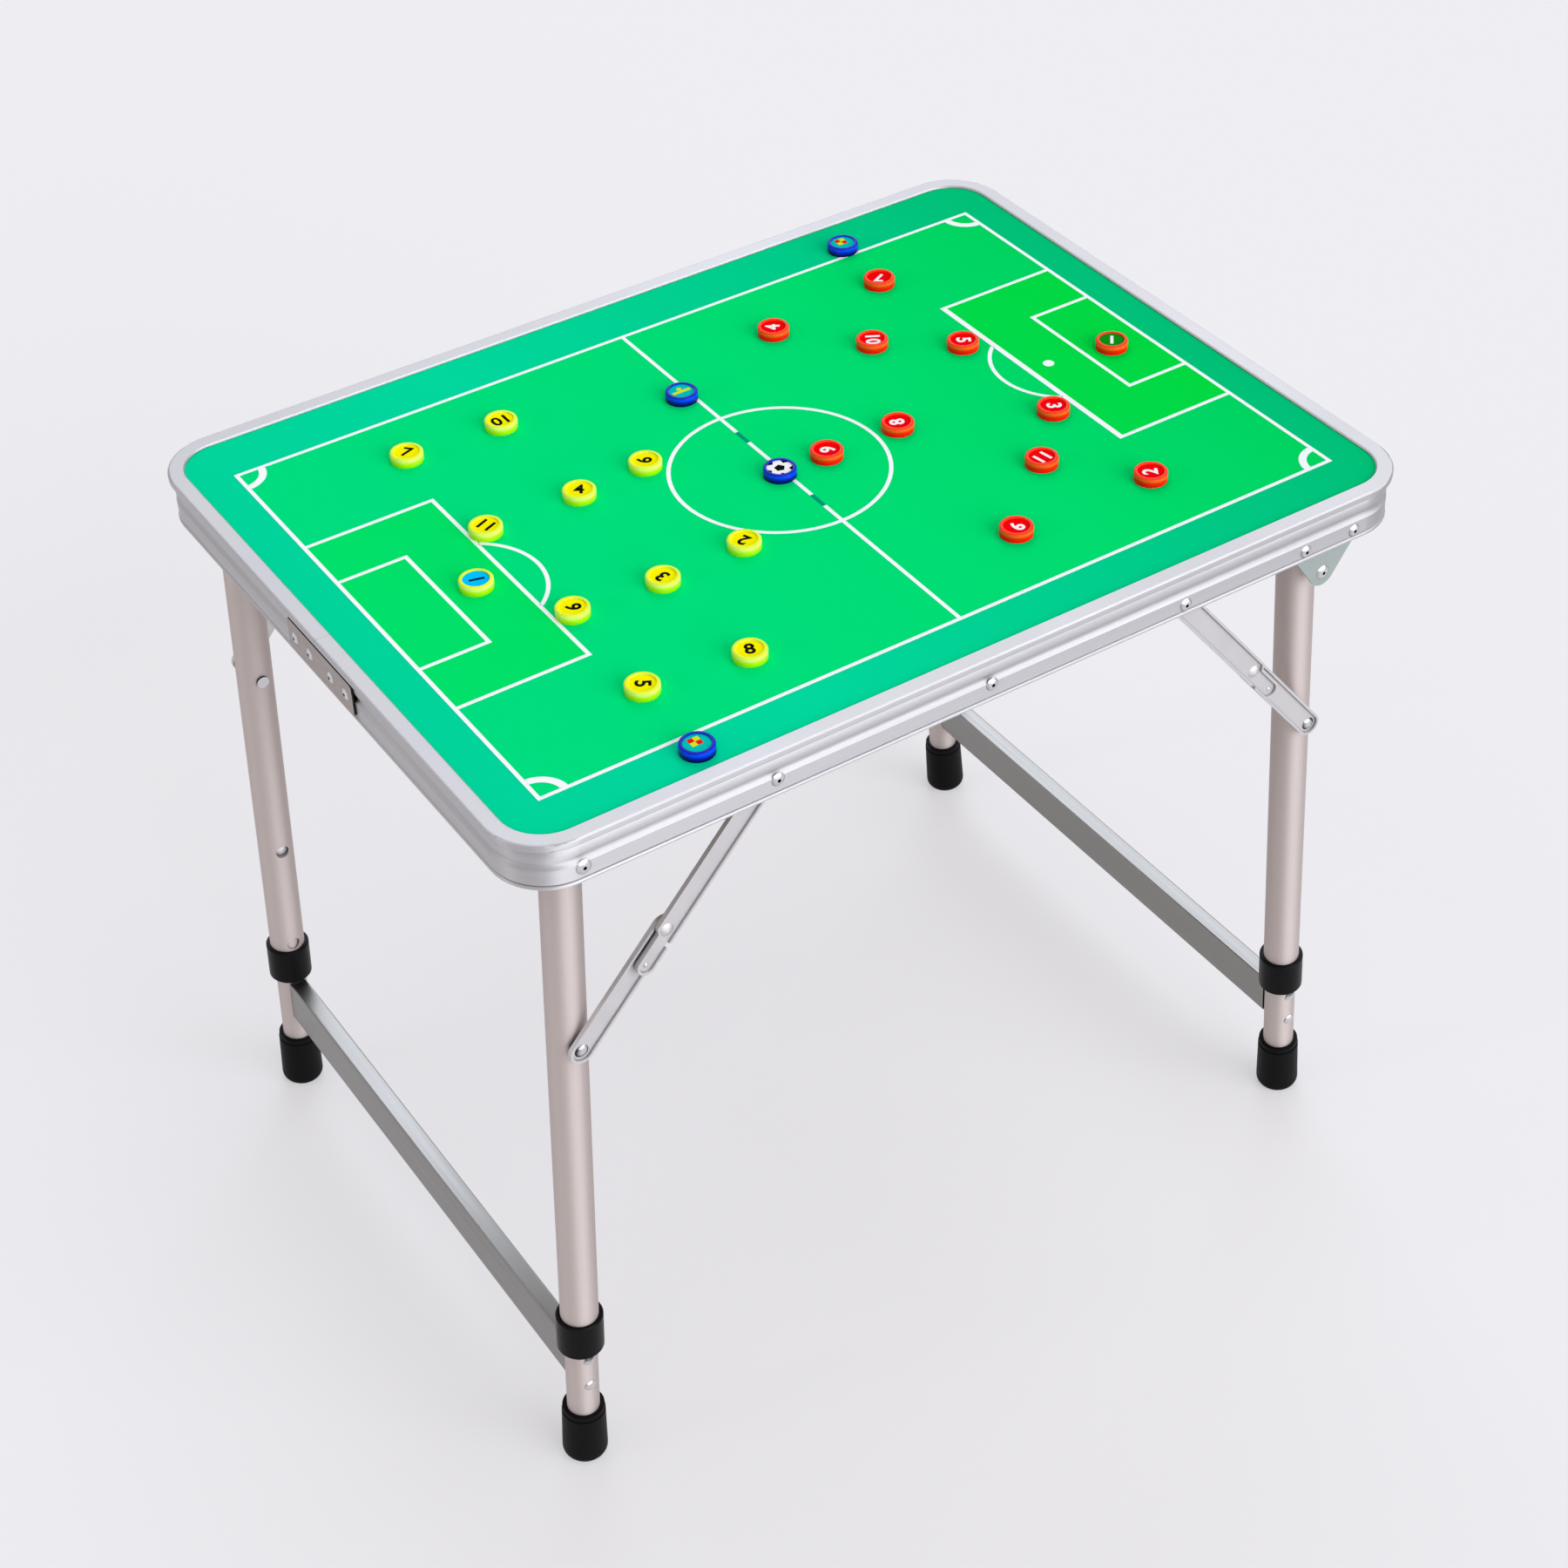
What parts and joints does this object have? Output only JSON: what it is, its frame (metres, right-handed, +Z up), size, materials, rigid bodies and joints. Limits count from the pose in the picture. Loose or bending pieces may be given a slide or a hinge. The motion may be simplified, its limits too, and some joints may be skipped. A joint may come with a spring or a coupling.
{
  "type": "folding tactics board",
  "caption": "Folding aluminium table whose printed pitch top holds loose magnetic team counters; braced telescopic legs fold flat under the rim.",
  "frame": {"origin": "on the floor, under the middle of the board", "axes": "+X along the long side of the board, +Y towards its far side, +Z up"},
  "size_m": [0.6, 0.45, 0.511],
  "materials": {
    "rim_aluminium": "extruded, bright anodised",
    "plate_aluminium": "rolled sheet, satin",
    "rivet_aluminium": "drawn, bright",
    "leg_aluminium": "drawn tube, satin anodised",
    "bar_aluminium": "drawn flat tube, satin",
    "link_steel": "pressed, zinc plated",
    "zinc_steel": "pressed, zinc plated",
    "steel_sheet": "rolled sheet",
    "printed_film": "printed film, semi-gloss",
    "core_board": "pressed fibre board",
    "bush_plastic": "moulded nylon",
    "black_plastic": "moulded, satin",
    "foot_rubber": "moulded",
    "counter_yellow": "moulded",
    "counter_red": "moulded",
    "counter_blue": "moulded",
    "counter_ball": "moulded"
  },
  "bodies": {
    "tabletop": {"rim_extrusion": "rim_aluminium", "rim_joiner_plate": "plate_aluminium", "rim_rivets": "rivet_aluminium", "printed_film": "printed_film", "steel_sheet": "steel_sheet", "core_board": "core_board", "right_leg_brackets": "zinc_steel", "leg_pivot_rivets": "rivet_aluminium", "leg_pivot_bushes": "bush_plastic", "brace_anchor_rivets": "rivet_aluminium"},
    "left_upper_legs": {"left_upper_tubes": "leg_aluminium", "left_tube_plugs": "black_plastic", "left_collars": "black_plastic", "left_brace_leg_rivets": "rivet_aluminium"},
    "left_lower_legs": {"left_lower_tubes": "leg_aluminium", "left_crossbar": "bar_aluminium", "left_crossbar_rivets": "rivet_aluminium", "left_feet": "foot_rubber"},
    "left_frame_links": {"left_frame_links": "link_steel"},
    "left_leg_links": {"left_leg_links": "link_steel"},
    "left_button_near": {"left_button_near": "zinc_steel"},
    "left_button_far": {"left_button_far": "zinc_steel"},
    "right_upper_legs": {"right_upper_tubes": "leg_aluminium", "right_tube_plugs": "black_plastic", "right_collars": "black_plastic", "right_brace_leg_rivets": "rivet_aluminium"},
    "right_lower_legs": {"right_lower_tubes": "leg_aluminium", "right_crossbar": "bar_aluminium", "right_crossbar_rivets": "rivet_aluminium", "right_feet": "foot_rubber"},
    "right_frame_links": {"right_frame_links": "link_steel"},
    "right_leg_links": {"right_leg_links": "link_steel"},
    "right_button_near": {"right_button_near": "zinc_steel"},
    "right_button_far": {"right_button_far": "zinc_steel"},
    "counter_yellow_01": {"counter_yellow_01": "counter_yellow"},
    "counter_yellow_02": {"counter_yellow_02": "counter_yellow"},
    "counter_yellow_03": {"counter_yellow_03": "counter_yellow"},
    "counter_yellow_04": {"counter_yellow_04": "counter_yellow"},
    "counter_yellow_05": {"counter_yellow_05": "counter_yellow"},
    "counter_yellow_06": {"counter_yellow_06": "counter_yellow"},
    "counter_yellow_07": {"counter_yellow_07": "counter_yellow"},
    "counter_yellow_08": {"counter_yellow_08": "counter_yellow"},
    "counter_yellow_09": {"counter_yellow_09": "counter_yellow"},
    "counter_yellow_10": {"counter_yellow_10": "counter_yellow"},
    "counter_yellow_11": {"counter_yellow_11": "counter_yellow"},
    "counter_red_01": {"counter_red_01": "counter_red"},
    "counter_red_02": {"counter_red_02": "counter_red"},
    "counter_red_03": {"counter_red_03": "counter_red"},
    "counter_red_04": {"counter_red_04": "counter_red"},
    "counter_red_05": {"counter_red_05": "counter_red"},
    "counter_red_06": {"counter_red_06": "counter_red"},
    "counter_red_07": {"counter_red_07": "counter_red"},
    "counter_red_08": {"counter_red_08": "counter_red"},
    "counter_red_09": {"counter_red_09": "counter_red"},
    "counter_red_10": {"counter_red_10": "counter_red"},
    "counter_red_11": {"counter_red_11": "counter_red"},
    "counter_referee": {"counter_referee": "counter_blue"},
    "counter_assistant_far": {"counter_assistant_far": "counter_blue"},
    "counter_assistant_near": {"counter_assistant_near": "counter_blue"},
    "counter_ball": {"counter_ball": "counter_ball"}
  },
  "joints": [
    {"name": "left_fold", "type": "hinge", "parent": "tabletop", "child": "left_upper_legs", "pos_m": [-0.262, 0, 0.4845], "axis": [0, -1, 0], "range_deg": [0, 92.75]},
    {"name": "left_extension", "type": "slide", "parent": "left_upper_legs", "child": "left_lower_legs", "axis": [0.048, 0, 0.9988], "range_m": [-0.08, 0]},
    {"name": "left_frame_link_turn", "type": "hinge", "parent": "tabletop", "child": "left_frame_links", "pos_m": [-0.144, 0, 0.4855], "axis": [0, -1, 0], "range_deg": [0, 129.3]},
    {"name": "left_leg_link_turn", "type": "hinge", "parent": "left_upper_legs", "child": "left_leg_links", "pos_m": [-0.26857, 0, 0.34778], "axis": [0, -1, 0], "range_deg": [-143.9, 0]},
    {"name": "left_button_near_press", "type": "slide", "parent": "left_lower_legs", "child": "left_button_near", "axis": [0, 1, 0], "range_m": [0, 0.0035]},
    {"name": "left_button_far_press", "type": "slide", "parent": "left_lower_legs", "child": "left_button_far", "axis": [0, -1, 0], "range_m": [0, 0.0035]},
    {"name": "right_fold", "type": "hinge", "parent": "tabletop", "child": "right_upper_legs", "pos_m": [0.2365, 0, 0.4575], "axis": [0, 1, 0], "range_deg": [0, 94]},
    {"name": "right_extension", "type": "slide", "parent": "right_upper_legs", "child": "right_lower_legs", "axis": [-0.0698, 0, 0.9976], "range_m": [-0.08, 0]},
    {"name": "right_frame_link_turn", "type": "hinge", "parent": "tabletop", "child": "right_frame_links", "pos_m": [0.13, 0, 0.4816], "axis": [0, 1, 0], "range_deg": [0, 112.6]},
    {"name": "right_leg_link_turn", "type": "hinge", "parent": "right_upper_legs", "child": "right_leg_links", "pos_m": [0.24501, 0, 0.3358], "axis": [0, 1, 0], "range_deg": [-148.6, 0]},
    {"name": "right_button_near_press", "type": "slide", "parent": "right_lower_legs", "child": "right_button_near", "axis": [0, 1, 0], "range_m": [0, 0.0035]},
    {"name": "right_button_far_press", "type": "slide", "parent": "right_lower_legs", "child": "right_button_far", "axis": [0, -1, 0], "range_m": [0, 0.0035]},
    {"name": "counter_yellow_01_lift", "type": "slide", "parent": "tabletop", "child": "counter_yellow_01", "axis": [0, 0, 1], "range_m": [0, 0.03]},
    {"name": "counter_yellow_02_lift", "type": "slide", "parent": "tabletop", "child": "counter_yellow_02", "axis": [0, 0, 1], "range_m": [0, 0.03]},
    {"name": "counter_yellow_03_lift", "type": "slide", "parent": "tabletop", "child": "counter_yellow_03", "axis": [0, 0, 1], "range_m": [0, 0.03]},
    {"name": "counter_yellow_04_lift", "type": "slide", "parent": "tabletop", "child": "counter_yellow_04", "axis": [0, 0, 1], "range_m": [0, 0.03]},
    {"name": "counter_yellow_05_lift", "type": "slide", "parent": "tabletop", "child": "counter_yellow_05", "axis": [0, 0, 1], "range_m": [0, 0.03]},
    {"name": "counter_yellow_06_lift", "type": "slide", "parent": "tabletop", "child": "counter_yellow_06", "axis": [0, 0, 1], "range_m": [0, 0.03]},
    {"name": "counter_yellow_07_lift", "type": "slide", "parent": "tabletop", "child": "counter_yellow_07", "axis": [0, 0, 1], "range_m": [0, 0.03]},
    {"name": "counter_yellow_08_lift", "type": "slide", "parent": "tabletop", "child": "counter_yellow_08", "axis": [0, 0, 1], "range_m": [0, 0.03]},
    {"name": "counter_yellow_09_lift", "type": "slide", "parent": "tabletop", "child": "counter_yellow_09", "axis": [0, 0, 1], "range_m": [0, 0.03]},
    {"name": "counter_yellow_10_lift", "type": "slide", "parent": "tabletop", "child": "counter_yellow_10", "axis": [0, 0, 1], "range_m": [0, 0.03]},
    {"name": "counter_yellow_11_lift", "type": "slide", "parent": "tabletop", "child": "counter_yellow_11", "axis": [0, 0, 1], "range_m": [0, 0.03]},
    {"name": "counter_red_01_lift", "type": "slide", "parent": "tabletop", "child": "counter_red_01", "axis": [0, 0, 1], "range_m": [0, 0.03]},
    {"name": "counter_red_02_lift", "type": "slide", "parent": "tabletop", "child": "counter_red_02", "axis": [0, 0, 1], "range_m": [0, 0.03]},
    {"name": "counter_red_03_lift", "type": "slide", "parent": "tabletop", "child": "counter_red_03", "axis": [0, 0, 1], "range_m": [0, 0.03]},
    {"name": "counter_red_04_lift", "type": "slide", "parent": "tabletop", "child": "counter_red_04", "axis": [0, 0, 1], "range_m": [0, 0.03]},
    {"name": "counter_red_05_lift", "type": "slide", "parent": "tabletop", "child": "counter_red_05", "axis": [0, 0, 1], "range_m": [0, 0.03]},
    {"name": "counter_red_06_lift", "type": "slide", "parent": "tabletop", "child": "counter_red_06", "axis": [0, 0, 1], "range_m": [0, 0.03]},
    {"name": "counter_red_07_lift", "type": "slide", "parent": "tabletop", "child": "counter_red_07", "axis": [0, 0, 1], "range_m": [0, 0.03]},
    {"name": "counter_red_08_lift", "type": "slide", "parent": "tabletop", "child": "counter_red_08", "axis": [0, 0, 1], "range_m": [0, 0.03]},
    {"name": "counter_red_09_lift", "type": "slide", "parent": "tabletop", "child": "counter_red_09", "axis": [0, 0, 1], "range_m": [0, 0.03]},
    {"name": "counter_red_10_lift", "type": "slide", "parent": "tabletop", "child": "counter_red_10", "axis": [0, 0, 1], "range_m": [0, 0.03]},
    {"name": "counter_red_11_lift", "type": "slide", "parent": "tabletop", "child": "counter_red_11", "axis": [0, 0, 1], "range_m": [0, 0.03]},
    {"name": "counter_referee_lift", "type": "slide", "parent": "tabletop", "child": "counter_referee", "axis": [0, 0, 1], "range_m": [0, 0.03]},
    {"name": "counter_assistant_far_lift", "type": "slide", "parent": "tabletop", "child": "counter_assistant_far", "axis": [0, 0, 1], "range_m": [0, 0.03]},
    {"name": "counter_assistant_near_lift", "type": "slide", "parent": "tabletop", "child": "counter_assistant_near", "axis": [0, 0, 1], "range_m": [0, 0.03]},
    {"name": "counter_ball_lift", "type": "slide", "parent": "tabletop", "child": "counter_ball", "axis": [0, 0, 1], "range_m": [0, 0.03]}
  ],
  "couplings": [
    {"joint": "left_frame_link_turn", "follows": "left_fold", "ratio": 1.3919},
    {"joint": "left_leg_link_turn", "follows": "left_fold", "ratio": -1.5488},
    {"joint": "right_frame_link_turn", "follows": "right_fold", "ratio": 1.196},
    {"joint": "right_leg_link_turn", "follows": "right_fold", "ratio": -1.5788}
  ]
}
